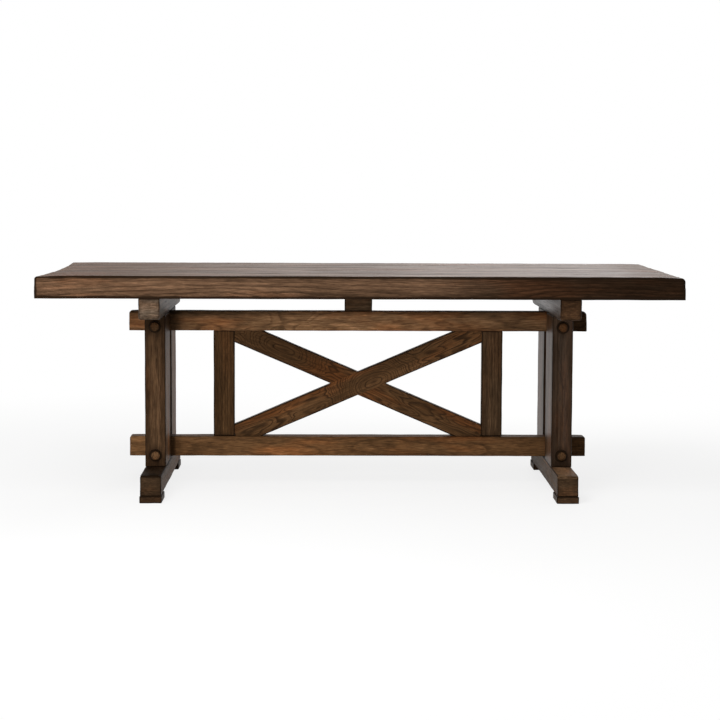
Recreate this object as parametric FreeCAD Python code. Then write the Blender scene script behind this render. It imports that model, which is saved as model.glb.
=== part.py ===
import FreeCAD
import Part

import math
import os

# A trestle dining table in dark oak, in millimetres.
# X runs along the table, Y from the front edge to the back edge, and Z up from the floor.
# The origin is on the floor under the middle of the top.
# Two trestles carry a plank top. Each has a foot on two pads, two posts and a bearer.
# Two rails run between the posts of both trestles and are pegged there.
# A cross brace between two stiles fills the frame that the rails make.

# Overall size
TABLE_HEIGHT = 762.0
TOP_LENGTH = 2144.0
TOP_WIDTH = 1000.0
TOP_THICKNESS = 76.0

# Boards of the top
BOARD_COUNT = 5
TOP_EDGE_ROUND = 9.0
TOP_CORNER_ROUND = 12.0
TOP_UNDER_ROUND = 3.0
LEFT_END_HOLLOW = 18.0
RIGHT_END_HOLLOW = 5.0
JOINT_VEE = 1.5

# Loose tongues that join the boards
TONGUE_THICKNESS = 12.0
TONGUE_WIDTH = 40.0
TONGUE_STOP = 110.0

# Trestles
TRESTLE_SPACING = 1394.0
TRESTLE_THICKNESS = 71.0
BEARER_LENGTH = 950.0
BEARER_HEIGHT = 71.0
BEARER_END_ROUND = 8.0
POST_DEPTH = 206.0
FOOT_LENGTH = 900.0
FOOT_HEIGHT = 69.0
FOOT_END_ROUND = 10.0

# Pads under the feet
PAD_HEIGHT = 24.0
PAD_LENGTH = 122.0
PAD_MARGIN = 2.0

# Tenons at both ends of each post
POST_TENON_THICKNESS = 24.0
POST_TENON_LENGTH = 44.0
POST_TENON_SHOULDER = 22.0

# Rails
RAIL_LENGTH = 1610.0
RAIL_THICKNESS = 70.0
RAIL_HEIGHT = 69.0
RAIL_END_ROUND = 9.0
LOWER_RAIL_LIFT = 10.0

# Cross brace and its stiles
PANEL_LENGTH = 872.0
STILE_WIDTH = 74.0
BRACE_WIDTH = 76.0
INFILL_THICKNESS = 38.0
STILE_TENON_THICKNESS = 14.0
STILE_TENON_LENGTH = 24.0
STILE_TENON_SHOULDER = 10.0

# Block between the upper rail and the top
BLOCK_LENGTH = 97.0
BLOCK_DEPTH = 60.0

# Pegs through the posts and the rails
PEG_DIAMETER = 36.0
PEG_PROUD = 14.0
PEG_DOME = 7.0
PEG_DROP = 5.0

# Dowels in the ends of the braces and under the block
DOWEL_DIAMETER = 12.0
DOWEL_LENGTH = 46.0
BLOCK_DOWEL_SPACING = 50.0

# Screws that hold the bearers to the top
TOP_SCREW_DIAMETER = 8.0
TOP_SCREW_HEAD = 16.0
TOP_SCREW_HEAD_HEIGHT = 5.0
TOP_SCREW_RECESS = 30.0
TOP_SCREW_RECESS_DIAMETER = 20.0
TOP_SCREW_POST_MARGIN = 30.0
TOP_SCREW_END_MARGIN = 70.0
TONGUE_COVER = 5.0

# Screws that hold the pads to the feet
PAD_SCREW_DIAMETER = 5.0
PAD_SCREW_HEAD = 10.0
PAD_SCREW_HEAD_HEIGHT = 3.0
PAD_SCREW_RECESS = 8.0
PAD_SCREW_RECESS_DIAMETER = 12.0
PAD_SCREW_BITE = 28.0
PAD_SCREW_SPACING = 64.0

# Eased edges and fits
ARRIS_ROUND = 3.0
LOWER_END_ROUND = 4.0
JOINT_CLEARANCE = 0.2
BORE_CLEARANCE = 0.1
SCREW_CLEARANCE = 0.8
MORTISE_RELIEF = 1.0

# Heights and places that follow from the sizes above
UNDERSIDE = TABLE_HEIGHT - TOP_THICKNESS
BEARER_BOTTOM = UNDERSIDE - BEARER_HEIGHT
FOOT_TOP = PAD_HEIGHT + FOOT_HEIGHT
LOWER_RAIL_BOTTOM = FOOT_TOP + LOWER_RAIL_LIFT
LOWER_RAIL_TOP = LOWER_RAIL_BOTTOM + RAIL_HEIGHT
UPPER_RAIL_TOP = BEARER_BOTTOM
UPPER_RAIL_BOTTOM = UPPER_RAIL_TOP - RAIL_HEIGHT
POST_INNER = RAIL_THICKNESS / 2
POST_OUTER = POST_INNER + POST_DEPTH
BOARD_WIDTH = TOP_WIDTH / BOARD_COUNT
TONGUE_MIDDLE = TABLE_HEIGHT - TOP_THICKNESS / 2
TOP_SCREW_BITE = (TOP_THICKNESS - TONGUE_THICKNESS) / 2 - TONGUE_COVER

SIDES = {"left": -1, "right": 1}
PLACES = {"front": -1, "back": 1}
PEG_HEIGHTS = {
    "lower": LOWER_RAIL_BOTTOM + RAIL_HEIGHT / 2 - PEG_DROP,
    "upper": UPPER_RAIL_BOTTOM + RAIL_HEIGHT / 2 - PEG_DROP,
}

Vector = FreeCAD.Vector
ALONG_X = Vector(1, 0, 0)
ALONG_Y = Vector(0, 1, 0)
ALONG_Z = Vector(0, 0, 1)
NEAR = 1e-4


# General shapes

def block_between(x_range, y_range, z_range):
    """A plain block between two values on each axis."""
    low = Vector(min(x_range), min(y_range), min(z_range))
    high = Vector(max(x_range), max(y_range), max(z_range))
    size = high - low
    return Part.makeBox(size.x, size.y, size.z, low)


def spread(middle, width):
    """The two ends of a width that is centred on a middle."""
    return (middle - width / 2, middle + width / 2)


def straight_edges(solid, direction):
    """The straight edges of a solid that run along a direction."""
    found = []
    for edge in solid.Edges:
        if not isinstance(edge.Curve, Part.Line):
            continue
        run = (edge.Vertexes[-1].Point - edge.Vertexes[0].Point).normalize()
        if abs(run.dot(direction)) > 1 - NEAR:
            found.append(edge)
    return found


def beam(length, thickness, height, upper_end_round, lower_end_round):
    """A squared timber along X on Z = 0, with rounded ends and eased arrises."""
    solid = block_between(spread(0, length), spread(0, thickness), (0, height))
    upper = [e for e in straight_edges(solid, ALONG_Y) if e.CenterOfMass.z > height / 2]
    solid = solid.makeFillet(upper_end_round, upper)
    lower = [e for e in straight_edges(solid, ALONG_Y) if e.CenterOfMass.z < NEAR]
    solid = solid.makeFillet(lower_end_round, lower)
    outline = [e for e in solid.Edges if abs(abs(e.CenterOfMass.y) - thickness / 2) < NEAR]
    return solid.makeFillet(ARRIS_ROUND, outline)


def upright(x_range, y_range, z_range):
    """A squared timber along Z with its four long arrises eased."""
    solid = block_between(x_range, y_range, z_range)
    return solid.makeFillet(ARRIS_ROUND, straight_edges(solid, ALONG_Z))


def bore(diameter, start, direction, length):
    """A round hole's core from a start point along a direction."""
    return Part.makeCylinder(diameter / 2, length, start, direction)


def screw(diameter, head_diameter, head_height, length):
    """A wood screw along +Z: a domed head below Z = 0, then a shank with a cone point."""
    shank = diameter / 2
    rim = head_diameter / 2
    shoulder = length - diameter
    outline = [
        Part.Arc(
            Vector(0, 0, -head_height),
            Vector(rim * math.sin(math.pi / 4), 0, -head_height * math.cos(math.pi / 4)),
            Vector(rim, 0, 0),
        ).toShape()
    ]
    corners = [
        Vector(rim, 0, 0),
        Vector(shank, 0, 0),
        Vector(shank, 0, shoulder),
        Vector(0, 0, length),
        Vector(0, 0, -head_height),
    ]
    for first, second in zip(corners, corners[1:]):
        outline.append(Part.makeLine(first, second))
    return Part.Face(Part.Wire(outline)).revolve(Vector(0, 0, 0), ALONG_Z, 360)


def dowel(middle):
    """A plain dowel standing on its joint line, half on each side of it."""
    start = middle - ALONG_Z * (DOWEL_LENGTH / 2)
    solid = Part.makeCylinder(DOWEL_DIAMETER / 2, DOWEL_LENGTH, start, ALONG_Z)
    ends = [e for e in solid.Edges if isinstance(e.Curve, Part.Circle)]
    return solid.makeChamfer(DOWEL_DIAMETER / 12, ends)


def dowel_hole(middle):
    """The hole for one dowel, on both sides of the joint line."""
    length = DOWEL_LENGTH + 2 * MORTISE_RELIEF
    start = middle - ALONG_Z * (length / 2)
    return bore(DOWEL_DIAMETER + 2 * BORE_CLEARANCE, start, ALONG_Z, length)


# Top

def top_blank():
    """The top before it is parted into boards: ends worn hollow, edges worn round."""
    half_length = TOP_LENGTH / 2
    half_width = TOP_WIDTH / 2
    corners = {
        (end, side): Vector(end * half_length, side * half_width, UNDERSIDE)
        for end in SIDES.values()
        for side in PLACES.values()
    }
    outline = [
        Part.makeLine(corners[-1, -1], corners[1, -1]),
        Part.Arc(
            corners[1, -1],
            Vector(half_length - RIGHT_END_HOLLOW, 0, UNDERSIDE),
            corners[1, 1],
        ).toShape(),
        Part.makeLine(corners[1, 1], corners[-1, 1]),
        Part.Arc(
            corners[-1, 1],
            Vector(LEFT_END_HOLLOW - half_length, 0, UNDERSIDE),
            corners[-1, -1],
        ).toShape(),
    ]
    slab = Part.Face(Part.Wire(outline)).extrude(ALONG_Z * TOP_THICKNESS)
    slab = slab.makeFillet(TOP_CORNER_ROUND, straight_edges(slab, ALONG_Z))
    upper = [e for e in slab.Edges if abs(e.CenterOfMass.z - TABLE_HEIGHT) < NEAR]
    slab = slab.makeFillet(TOP_EDGE_ROUND, upper)
    lower = [e for e in slab.Edges if abs(e.CenterOfMass.z - UNDERSIDE) < NEAR]
    return slab.makeFillet(TOP_UNDER_ROUND, lower)


def board_joints():
    """The Y of each joint between two boards."""
    return [-TOP_WIDTH / 2 + number * BOARD_WIDTH for number in range(1, BOARD_COUNT)]


def joint_vee(y):
    """The small V that is planed along a board joint."""
    section = [
        Vector(-TOP_LENGTH / 2, y - JOINT_VEE, TABLE_HEIGHT),
        Vector(-TOP_LENGTH / 2, y, TABLE_HEIGHT - JOINT_VEE),
        Vector(-TOP_LENGTH / 2, y + JOINT_VEE, TABLE_HEIGHT),
    ]
    triangle = Part.Face(Part.makePolygon(section + section[:1]))
    return triangle.extrude(ALONG_X * TOP_LENGTH)


def tongue(y, side_clearance=0.0, end_clearance=0.0):
    """A loose tongue in a board joint, or its groove when clearances are given."""
    length = TOP_LENGTH - 2 * TONGUE_STOP + 2 * end_clearance
    width = TONGUE_WIDTH + 2 * end_clearance
    thickness = TONGUE_THICKNESS + 2 * side_clearance
    return block_between(spread(0, length), spread(y, width), spread(TONGUE_MIDDLE, thickness))


def top_screw_points():
    """The X and Y of the screws that hold the bearers to the top."""
    steps = (POST_OUTER + TOP_SCREW_POST_MARGIN, BEARER_LENGTH / 2 - TOP_SCREW_END_MARGIN)
    return [
        (side * TRESTLE_SPACING / 2, place * step)
        for side in SIDES.values()
        for place in PLACES.values()
        for step in steps
    ]


def top_boards():
    """The boards of the top, from the front to the back."""
    blank = top_blank()
    cuts = []
    for y in board_joints():
        cuts.append(joint_vee(y))
        cuts.append(tongue(y, JOINT_CLEARANCE, MORTISE_RELIEF))
    for x, y in top_screw_points():
        start = Vector(x, y, UNDERSIDE)
        depth = TOP_SCREW_BITE + MORTISE_RELIEF
        cuts.append(bore(TOP_SCREW_DIAMETER + 2 * BORE_CLEARANCE, start, ALONG_Z, depth))
    boards = {}
    for number in range(BOARD_COUNT):
        front = -TOP_WIDTH / 2 + number * BOARD_WIDTH
        strip = block_between(
            spread(0, TOP_LENGTH), (front, front + BOARD_WIDTH), (UNDERSIDE, TABLE_HEIGHT)
        )
        boards[f"top_board_{number + 1}"] = blank.common(strip).cut(cuts)
    return boards


def board_tongues():
    """The loose tongues between the boards."""
    joints = enumerate(board_joints(), start=1)
    return {f"board_tongue_{number}": tongue(y) for number, y in joints}


# Trestles

def post_range(place):
    """The Y of a post's inner and outer faces."""
    return (place * POST_INNER, place * POST_OUTER)


def trestle_range(side, thickness=TRESTLE_THICKNESS):
    """The X of a trestle's faces, or of a thinner layer in its middle."""
    return spread(side * TRESTLE_SPACING / 2, thickness)


def post_tenon(side, place, z_range, clearance=0.0):
    """A post's tenon, or its mortise when a clearance is given."""
    thickness = POST_TENON_THICKNESS + 2 * clearance
    width = POST_DEPTH - 2 * POST_TENON_SHOULDER + 2 * clearance
    middle = place * (POST_INNER + POST_OUTER) / 2
    return block_between(trestle_range(side, thickness), spread(middle, width), z_range)


def peg_bore(side, height):
    """The hole for one peg, through both posts and the rail between them."""
    start = Vector(side * TRESTLE_SPACING / 2, -POST_OUTER, height)
    return bore(PEG_DIAMETER + 2 * BORE_CLEARANCE, start, ALONG_Y, 2 * POST_OUTER)


def peg_bores(side):
    """The peg holes of one trestle."""
    return [peg_bore(side, height) for height in PEG_HEIGHTS.values()]


def post(side, place):
    """A wide post with a tenon at each end and two peg holes."""
    body = upright(trestle_range(side), post_range(place), (FOOT_TOP, BEARER_BOTTOM))
    tenons = [
        post_tenon(side, place, (FOOT_TOP - POST_TENON_LENGTH, FOOT_TOP)),
        post_tenon(side, place, (BEARER_BOTTOM, BEARER_BOTTOM + POST_TENON_LENGTH)),
    ]
    return body.fuse(tenons).removeSplitter().cut(peg_bores(side))


def turned_across(solid, side, bottom):
    """A beam that was made along X, turned along Y and set in a trestle."""
    solid = solid.copy()
    solid.rotate(Vector(0, 0, 0), ALONG_Z, 90)
    solid.translate(Vector(side * TRESTLE_SPACING / 2, 0, bottom))
    return solid


def foot(side):
    """A foot, mortised for its posts and drilled for the screws of its pads."""
    body = beam(FOOT_LENGTH, TRESTLE_THICKNESS, FOOT_HEIGHT, FOOT_END_ROUND, LOWER_END_ROUND)
    depth = POST_TENON_LENGTH + MORTISE_RELIEF
    cuts = [
        post_tenon(side, place, (FOOT_TOP - depth, FOOT_TOP), JOINT_CLEARANCE)
        for place in PLACES.values()
    ]
    for x, y in pad_screw_points(side):
        start = Vector(x, y, PAD_HEIGHT)
        length = PAD_SCREW_BITE + MORTISE_RELIEF
        cuts.append(bore(PAD_SCREW_DIAMETER + 2 * BORE_CLEARANCE, start, ALONG_Z, length))
    return turned_across(body, side, PAD_HEIGHT).cut(cuts)


def bearer(side):
    """A bearer, mortised for its posts and drilled for the screws of the top."""
    body = beam(
        BEARER_LENGTH, TRESTLE_THICKNESS, BEARER_HEIGHT, LOWER_END_ROUND, BEARER_END_ROUND
    )
    depth = POST_TENON_LENGTH + MORTISE_RELIEF
    cuts = [
        post_tenon(side, place, (BEARER_BOTTOM, BEARER_BOTTOM + depth), JOINT_CLEARANCE)
        for place in PLACES.values()
    ]
    for x, y in top_screw_points():
        start = Vector(x, y, BEARER_BOTTOM)
        cuts.append(bore(TOP_SCREW_RECESS_DIAMETER, start, ALONG_Z, TOP_SCREW_RECESS))
        cuts.append(bore(TOP_SCREW_DIAMETER + SCREW_CLEARANCE, start, ALONG_Z, BEARER_HEIGHT))
    return turned_across(body, side, BEARER_BOTTOM).cut(cuts)


def pad_range(place):
    """The Y of a pad's outer and inner ends."""
    outer = FOOT_LENGTH / 2 + PAD_MARGIN
    return (place * outer, place * (outer - PAD_LENGTH))


def pad_screw_points(side):
    """The X and Y of the screws under the pads of one foot."""
    return [
        (side * TRESTLE_SPACING / 2, y)
        for place in PLACES.values()
        for y in spread(sum(pad_range(place)) / 2, PAD_SCREW_SPACING)
    ]


def foot_pad(side, place):
    """A pad that stands a little proud of the foot, drilled for its screws."""
    width = TRESTLE_THICKNESS + 2 * PAD_MARGIN
    body = upright(trestle_range(side, width), pad_range(place), (0, PAD_HEIGHT))
    upper = [e for e in body.Edges if abs(e.CenterOfMass.z - PAD_HEIGHT) < NEAR]
    body = body.makeFillet(PAD_MARGIN, upper)
    cuts = []
    for x, y in pad_screw_points(side):
        start = Vector(x, y, 0)
        cuts.append(bore(PAD_SCREW_RECESS_DIAMETER, start, ALONG_Z, PAD_SCREW_RECESS))
        cuts.append(bore(PAD_SCREW_DIAMETER + SCREW_CLEARANCE, start, ALONG_Z, PAD_HEIGHT))
    return body.cut(cuts)


def peg(side, height):
    """A peg through both posts and the rail, with a domed head at each end."""
    radius = PEG_DIAMETER / 2
    face = POST_OUTER + PEG_PROUD - PEG_DOME
    crown = POST_OUTER + PEG_PROUD
    ball = (radius**2 + PEG_DOME**2) / (2 * PEG_DOME)
    lean = math.asin(radius / ball) / 2
    shoulder = Vector(ball * math.sin(lean), crown - ball + ball * math.cos(lean), 0)
    outline = [
        Part.makeLine(Vector(0, -crown, 0), Vector(0, crown, 0)),
        Part.Arc(Vector(0, crown, 0), shoulder, Vector(radius, face, 0)).toShape(),
        Part.makeLine(Vector(radius, face, 0), Vector(radius, -face, 0)),
        Part.Arc(
            Vector(radius, -face, 0), Vector(shoulder.x, -shoulder.y, 0), Vector(0, -crown, 0)
        ).toShape(),
    ]
    solid = Part.Face(Part.Wire(outline)).revolve(Vector(0, 0, 0), ALONG_Y, 360)
    solid.translate(Vector(side * TRESTLE_SPACING / 2, 0, height))
    return solid


def top_screws():
    """The screws that hold the bearers to the top, as one group."""
    seat = BEARER_BOTTOM + TOP_SCREW_RECESS
    length = UNDERSIDE + TOP_SCREW_BITE - seat
    screws = []
    for x, y in top_screw_points():
        solid = screw(TOP_SCREW_DIAMETER, TOP_SCREW_HEAD, TOP_SCREW_HEAD_HEIGHT, length)
        solid.translate(Vector(x, y, seat))
        screws.append(solid)
    return Part.makeCompound(screws)


def pad_screws():
    """The screws that hold the pads to the feet, as one group."""
    length = PAD_HEIGHT + PAD_SCREW_BITE - PAD_SCREW_RECESS
    screws = []
    for side in SIDES.values():
        for x, y in pad_screw_points(side):
            solid = screw(PAD_SCREW_DIAMETER, PAD_SCREW_HEAD, PAD_SCREW_HEAD_HEIGHT, length)
            solid.translate(Vector(x, y, PAD_SCREW_RECESS))
            screws.append(solid)
    return Part.makeCompound(screws)


# Rails, stiles and braces

def stile_tenon(side, z_range, clearance=0.0):
    """A stile's tenon, or its mortise when a clearance is given."""
    middle = side * (PANEL_LENGTH + STILE_WIDTH) / 2
    width = STILE_WIDTH - 2 * STILE_TENON_SHOULDER + 2 * clearance
    thickness = STILE_TENON_THICKNESS + 2 * clearance
    return block_between(spread(middle, width), spread(0, thickness), z_range)


def brace_foot_length():
    """How far a brace's end cut runs along the rail from the corner of the panel."""
    rise = UPPER_RAIL_BOTTOM - LOWER_RAIL_TOP
    slope = math.atan2(rise, PANEL_LENGTH)
    return BRACE_WIDTH / 2 / math.sin(slope)


def brace_dowel_points(rail):
    """The middles of the dowels in the ends of the braces at one rail."""
    joint = {"lower": LOWER_RAIL_TOP, "upper": UPPER_RAIL_BOTTOM}[rail]
    reach = PANEL_LENGTH / 2 - brace_foot_length() / 2
    return [Vector(side * reach, 0, joint) for side in SIDES.values()]


def block_dowel_points():
    """The middles of the dowels between the upper rail and the block."""
    return [Vector(x, 0, UPPER_RAIL_TOP) for x in spread(0, BLOCK_DOWEL_SPACING)]


def rail(name):
    """A rail with its peg holes, the mortises of the stiles and the dowel holes."""
    bottom = {"lower": LOWER_RAIL_BOTTOM, "upper": UPPER_RAIL_BOTTOM}[name]
    body = beam(RAIL_LENGTH, RAIL_THICKNESS, RAIL_HEIGHT, RAIL_END_ROUND, LOWER_END_ROUND)
    body.translate(Vector(0, 0, bottom))
    depth = STILE_TENON_LENGTH + MORTISE_RELIEF
    mouth = {
        "lower": (LOWER_RAIL_TOP - depth, LOWER_RAIL_TOP),
        "upper": (UPPER_RAIL_BOTTOM, UPPER_RAIL_BOTTOM + depth),
    }[name]
    cuts = [dowel_hole(point) for point in brace_dowel_points(name)]
    for side in SIDES.values():
        cuts.append(peg_bore(side, PEG_HEIGHTS[name]))
        cuts.append(stile_tenon(side, mouth, JOINT_CLEARANCE))
    if name == "upper":
        cuts += [dowel_hole(point) for point in block_dowel_points()]
    return body.cut(cuts)


def stile(side):
    """An upright between the rails with a tenon at each end."""
    inner = side * PANEL_LENGTH / 2
    outer = side * (PANEL_LENGTH / 2 + STILE_WIDTH)
    body = upright(
        (inner, outer), spread(0, INFILL_THICKNESS), (LOWER_RAIL_TOP, UPPER_RAIL_BOTTOM)
    )
    tenons = [
        stile_tenon(side, (LOWER_RAIL_TOP - STILE_TENON_LENGTH, LOWER_RAIL_TOP)),
        stile_tenon(side, (UPPER_RAIL_BOTTOM, UPPER_RAIL_BOTTOM + STILE_TENON_LENGTH)),
    ]
    return body.fuse(tenons).removeSplitter()


def diagonal_bar(rise_side, width, y_range):
    """A bar along a diagonal of the panel that climbs towards one side."""
    rise = UPPER_RAIL_BOTTOM - LOWER_RAIL_TOP
    length = math.hypot(PANEL_LENGTH, rise) + 2 * width
    bar = block_between(spread(0, length), y_range, spread(0, width))
    tilt = math.degrees(math.atan2(rise, PANEL_LENGTH))
    bar.rotate(Vector(0, 0, 0), ALONG_Y, -rise_side * tilt)
    bar.translate(Vector(0, 0, (UPPER_RAIL_BOTTOM + LOWER_RAIL_TOP) / 2))
    return bar


def brace(rise_side):
    """A brace from corner to corner of the panel, halved where it crosses the other.

    Its arrises are eased up to the crossing, where the two faces lie flush and stay sharp.
    """
    half = INFILL_THICKNESS / 2
    sharp = diagonal_bar(rise_side, BRACE_WIDTH, (-half, half))
    longest = max(edge.Length for edge in sharp.Edges)
    bar = sharp.makeFillet(ARRIS_ROUND, [e for e in sharp.Edges if e.Length > longest - NEAR])
    crossing = sharp.common(diagonal_bar(-rise_side, BRACE_WIDTH, (-half, half)))
    bar = bar.fuse(crossing).removeSplitter()
    panel = block_between(
        spread(0, PANEL_LENGTH), (-half, half), (LOWER_RAIL_TOP, UPPER_RAIL_BOTTOM)
    )
    lap = diagonal_bar(-rise_side, BRACE_WIDTH, (0, rise_side * half))
    holes = [dowel_hole(p) for name in PEG_HEIGHTS for p in brace_dowel_points(name)]
    return bar.common(panel).cut([lap] + holes)


def centre_block():
    """The block that carries the middle of the top on the upper rail."""
    body = upright(
        spread(0, BLOCK_LENGTH), spread(0, BLOCK_DEPTH), (UPPER_RAIL_TOP, UNDERSIDE)
    )
    return body.cut([dowel_hole(point) for point in block_dowel_points()])


def brace_dowels():
    """The dowels in the ends of the braces, as one group."""
    points = [p for name in PEG_HEIGHTS for p in brace_dowel_points(name)]
    return Part.makeCompound([dowel(point) for point in points])


def block_dowels():
    """The dowels under the block, as one group."""
    return Part.makeCompound([dowel(point) for point in block_dowel_points()])


# The whole table

def build_table():
    """Every piece of the table by its name."""
    pieces = {}
    pieces.update(top_boards())
    pieces.update(board_tongues())
    for side_name, side in SIDES.items():
        pieces[f"bearer_{side_name}"] = bearer(side)
        pieces[f"foot_{side_name}"] = foot(side)
        pieces[f"stile_{side_name}"] = stile(side)
        for place_name, place in PLACES.items():
            pieces[f"post_{side_name}_{place_name}"] = post(side, place)
            pieces[f"foot_pad_{side_name}_{place_name}"] = foot_pad(side, place)
        for rail_name, height in PEG_HEIGHTS.items():
            pieces[f"peg_{side_name}_{rail_name}"] = peg(side, height)
    for rail_name in PEG_HEIGHTS:
        pieces[f"rail_{rail_name}"] = rail(rail_name)
    pieces["brace_rising_right"] = brace(SIDES["right"])
    pieces["brace_rising_left"] = brace(SIDES["left"])
    pieces["centre_block"] = centre_block()
    pieces["brace_dowels"] = brace_dowels()
    pieces["block_dowels"] = block_dowels()
    pieces["top_screws"] = top_screws()
    pieces["pad_screws"] = pad_screws()
    return pieces


def main():
    os.makedirs("parts", exist_ok=True)
    for name, shape in build_table().items():
        shape.exportStep(os.path.join("parts", name + ".step"))


main()
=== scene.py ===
import math
from functools import partial, reduce

import bpy
from mathutils import Euler, Matrix, Vector


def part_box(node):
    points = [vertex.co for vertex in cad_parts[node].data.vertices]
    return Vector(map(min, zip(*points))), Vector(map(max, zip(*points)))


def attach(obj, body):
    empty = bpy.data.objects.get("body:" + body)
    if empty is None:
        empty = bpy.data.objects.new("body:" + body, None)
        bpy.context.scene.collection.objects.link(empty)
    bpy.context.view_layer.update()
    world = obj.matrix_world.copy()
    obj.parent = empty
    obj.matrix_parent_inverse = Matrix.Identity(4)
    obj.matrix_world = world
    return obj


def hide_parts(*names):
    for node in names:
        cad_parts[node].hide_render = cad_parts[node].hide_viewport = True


bl_info = {
    "name": "Trestle dining table",
    "version": (1, 0, 0),
    "blender": (4, 5, 0),
    "location": "3D View > Sidebar > Table",
    "description": "Dresses a trestle dining table in worn dark oak",
    "category": "Add Mesh",
}

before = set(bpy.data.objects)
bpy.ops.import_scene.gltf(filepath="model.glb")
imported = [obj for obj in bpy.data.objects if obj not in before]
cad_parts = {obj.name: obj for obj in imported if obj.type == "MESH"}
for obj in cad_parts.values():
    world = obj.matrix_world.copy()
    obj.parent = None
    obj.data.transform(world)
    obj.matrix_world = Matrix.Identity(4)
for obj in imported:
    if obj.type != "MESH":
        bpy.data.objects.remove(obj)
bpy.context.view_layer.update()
BOXES = {name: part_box(name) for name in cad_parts}
BODY = "root"
SIDES = ("left", "right")
PLACES = ("front", "back")
RAILS = ("lower", "upper")
BOARDS = sorted(name for name in BOXES if name.startswith("top_board_"))
TONGUES = sorted(name for name in BOXES if name.startswith("board_tongue_"))

# How a timber that is made along X is turned so that its grain runs along another axis
TURNS = {
    "X": Euler((0, 0, 0)),
    "Y": Euler((0, 0, math.pi / 2)),
    "Z": Euler((0, -math.pi / 2, 0)),
}


# Settings

def number(name, description, default, **kind):
    """A number for a property group."""
    return bpy.props.FloatProperty(name=name, description=description, default=default, **kind)


def numbers(name, description, default, **kind):
    """Three numbers for a property group."""
    return bpy.props.FloatVectorProperty(
        name=name, description=description, default=default, size=3, **kind
    )


length = partial(number, unit="LENGTH", precision=4)
share = partial(number, min=0, max=1, subtype="FACTOR")
angle = partial(number, subtype="ANGLE")
power = partial(number, unit="POWER")
colour = partial(numbers, min=0, max=1, subtype="COLOR")
position = partial(numbers, subtype="TRANSLATION", unit="LENGTH")


class TimberShape(bpy.types.PropertyGroup):
    """Sizes of the wear on the timbers."""

    arris: length("Arris", "Radius of the eased edges", 0.0032)
    top_edge: length("Top edge", "Radius of the worn upper edge of the top", 0.0085)
    top_end: length("Top end", "Radius of the worn upper edge at the ends of the top", 0.0105)
    front_dip: length("Front dip", "How far the upper face dips at the front corners", 0.0035)
    back_dip: length("Back dip", "How far the upper face dips at the back corners", 0.001)
    end_round: length("End round", "Radius of the rounded ends of rails, feet and bearers", 0.009)
    scrape: length("Scrape", "Depth of the hollows that scraping left in the faces", 0.0007)
    hollow_left: length("Left hollow", "How far the left end of the top is hollow", 0.018)
    hollow_right: length("Right hollow", "How far the right end of the top is hollow", 0.005)
    joint_vee: length("Joint V", "Depth of the small V along each board joint", 0.0015)
    cell: length("Cell", "Size of the faces that a timber is divided into", 0.011)
    brace_width: length("Brace width", "Width of the braces in the cross", 0.076)
    peg_dome: length("Peg dome", "Height of the crown on a peg's end", 0.007)
    recess_radius: length("Recess radius", "Radius of the recesses for the screws of the top", 0.01)
    pad_recess_radius: length("Pad recess", "Radius of the recesses for the pads' screws", 0.006)
    peg_gap: length("Peg gap", "Gap round a peg where it leaves the post", 0.0008)


class OakFinish(bpy.types.PropertyGroup):
    """Colours and gloss of the oak."""

    top: colour("Top", "Oak of the top boards", (0.112, 0.062, 0.035))
    rail: colour("Rails", "Oak of the rails", (0.135, 0.068, 0.0285))
    post: colour("Posts", "Oak of the posts", (0.063, 0.034, 0.017))
    bearer_left: colour("Left bearer", "Oak of the left bearer", (0.107, 0.079, 0.056))
    bearer_right: colour("Right bearer", "Oak of the right bearer", (0.052, 0.026, 0.0125))
    block: colour("Block", "Oak of the block", (0.063, 0.039, 0.022))
    foot: colour("Feet", "Oak of the feet and the pads", (0.078, 0.045, 0.024))
    infill: colour("Cross", "Oak of the stiles and the braces", (0.068, 0.034, 0.0145))
    peg: colour("Pegs", "Oak of the pegs", (0.08, 0.042, 0.019))
    pore: colour("Pores", "Dark stain in the pores and the early wood", (0.016, 0.009, 0.005))
    edge: colour("Edges", "Dark stain along the worn edges", (0.012, 0.0065, 0.0035))
    inner: colour("Inner wood", "Plain wood of the tongues and dowels", (0.42, 0.29, 0.17))
    steel: colour("Screws", "Steel of the screws", (0.5, 0.5, 0.51))
    roughness: share("Roughness", "Roughness of the waxed faces", 0.46)


class StageSetup(bpy.types.PropertyGroup):
    """Camera, light and floor."""

    camera_place: position("Camera", "Place of the camera", (-0.1081, -7.2231, 1.1057))
    camera_yaw: angle("Yaw", "Turn of the camera to the right", 0.0159)
    camera_pitch: angle("Pitch", "Tilt of the camera above the level", -0.0918)
    camera_roll: angle("Roll", "Turn of the camera about its own line of sight", 0.0039)
    lens: number("Lens", "Focal length on a 36 mm sensor", 102.51, subtype="DISTANCE_CAMERA")
    floor: colour("Floor", "Pale floor", (0.86, 0.86, 0.85))
    key_power: power("Key light", "Power of the large light at the left", 58.0)
    top_power: power("Top light", "Power of the soft light above", 85.0)
    back_power: power("Back light", "Power of the light that gives the top its sheen", 40.0)
    rear_power: power("Rear light", "Power of the light on the far side of the table", 40.0)
    fill: number("Fill", "Strength of the even light from all round", 0.32)


# Node trees that read like formulas

def reckoning(operation, swapped=False):
    """A sign between two terms, which adds a node to their tree."""
    def reckon(self, *others):
        values = (*others, self) if swapped else (self, *others)
        return self.sketch.reckon(operation, *values)
    return reckon


class Term:
    """A value in a node tree that can be reckoned with."""

    def __init__(self, sketch, socket):
        self.sketch, self.socket = sketch, socket

    __add__, __radd__ = reckoning("ADD"), reckoning("ADD", swapped=True)
    __sub__, __rsub__ = reckoning("SUBTRACT"), reckoning("SUBTRACT", swapped=True)
    __mul__, __rmul__ = reckoning("MULTIPLY"), reckoning("MULTIPLY", swapped=True)
    __truediv__ = reckoning("DIVIDE")
    __lt__, __gt__ = reckoning("LESS_THAN"), reckoning("GREATER_THAN")
    __abs__ = reckoning("ABSOLUTE")


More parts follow.
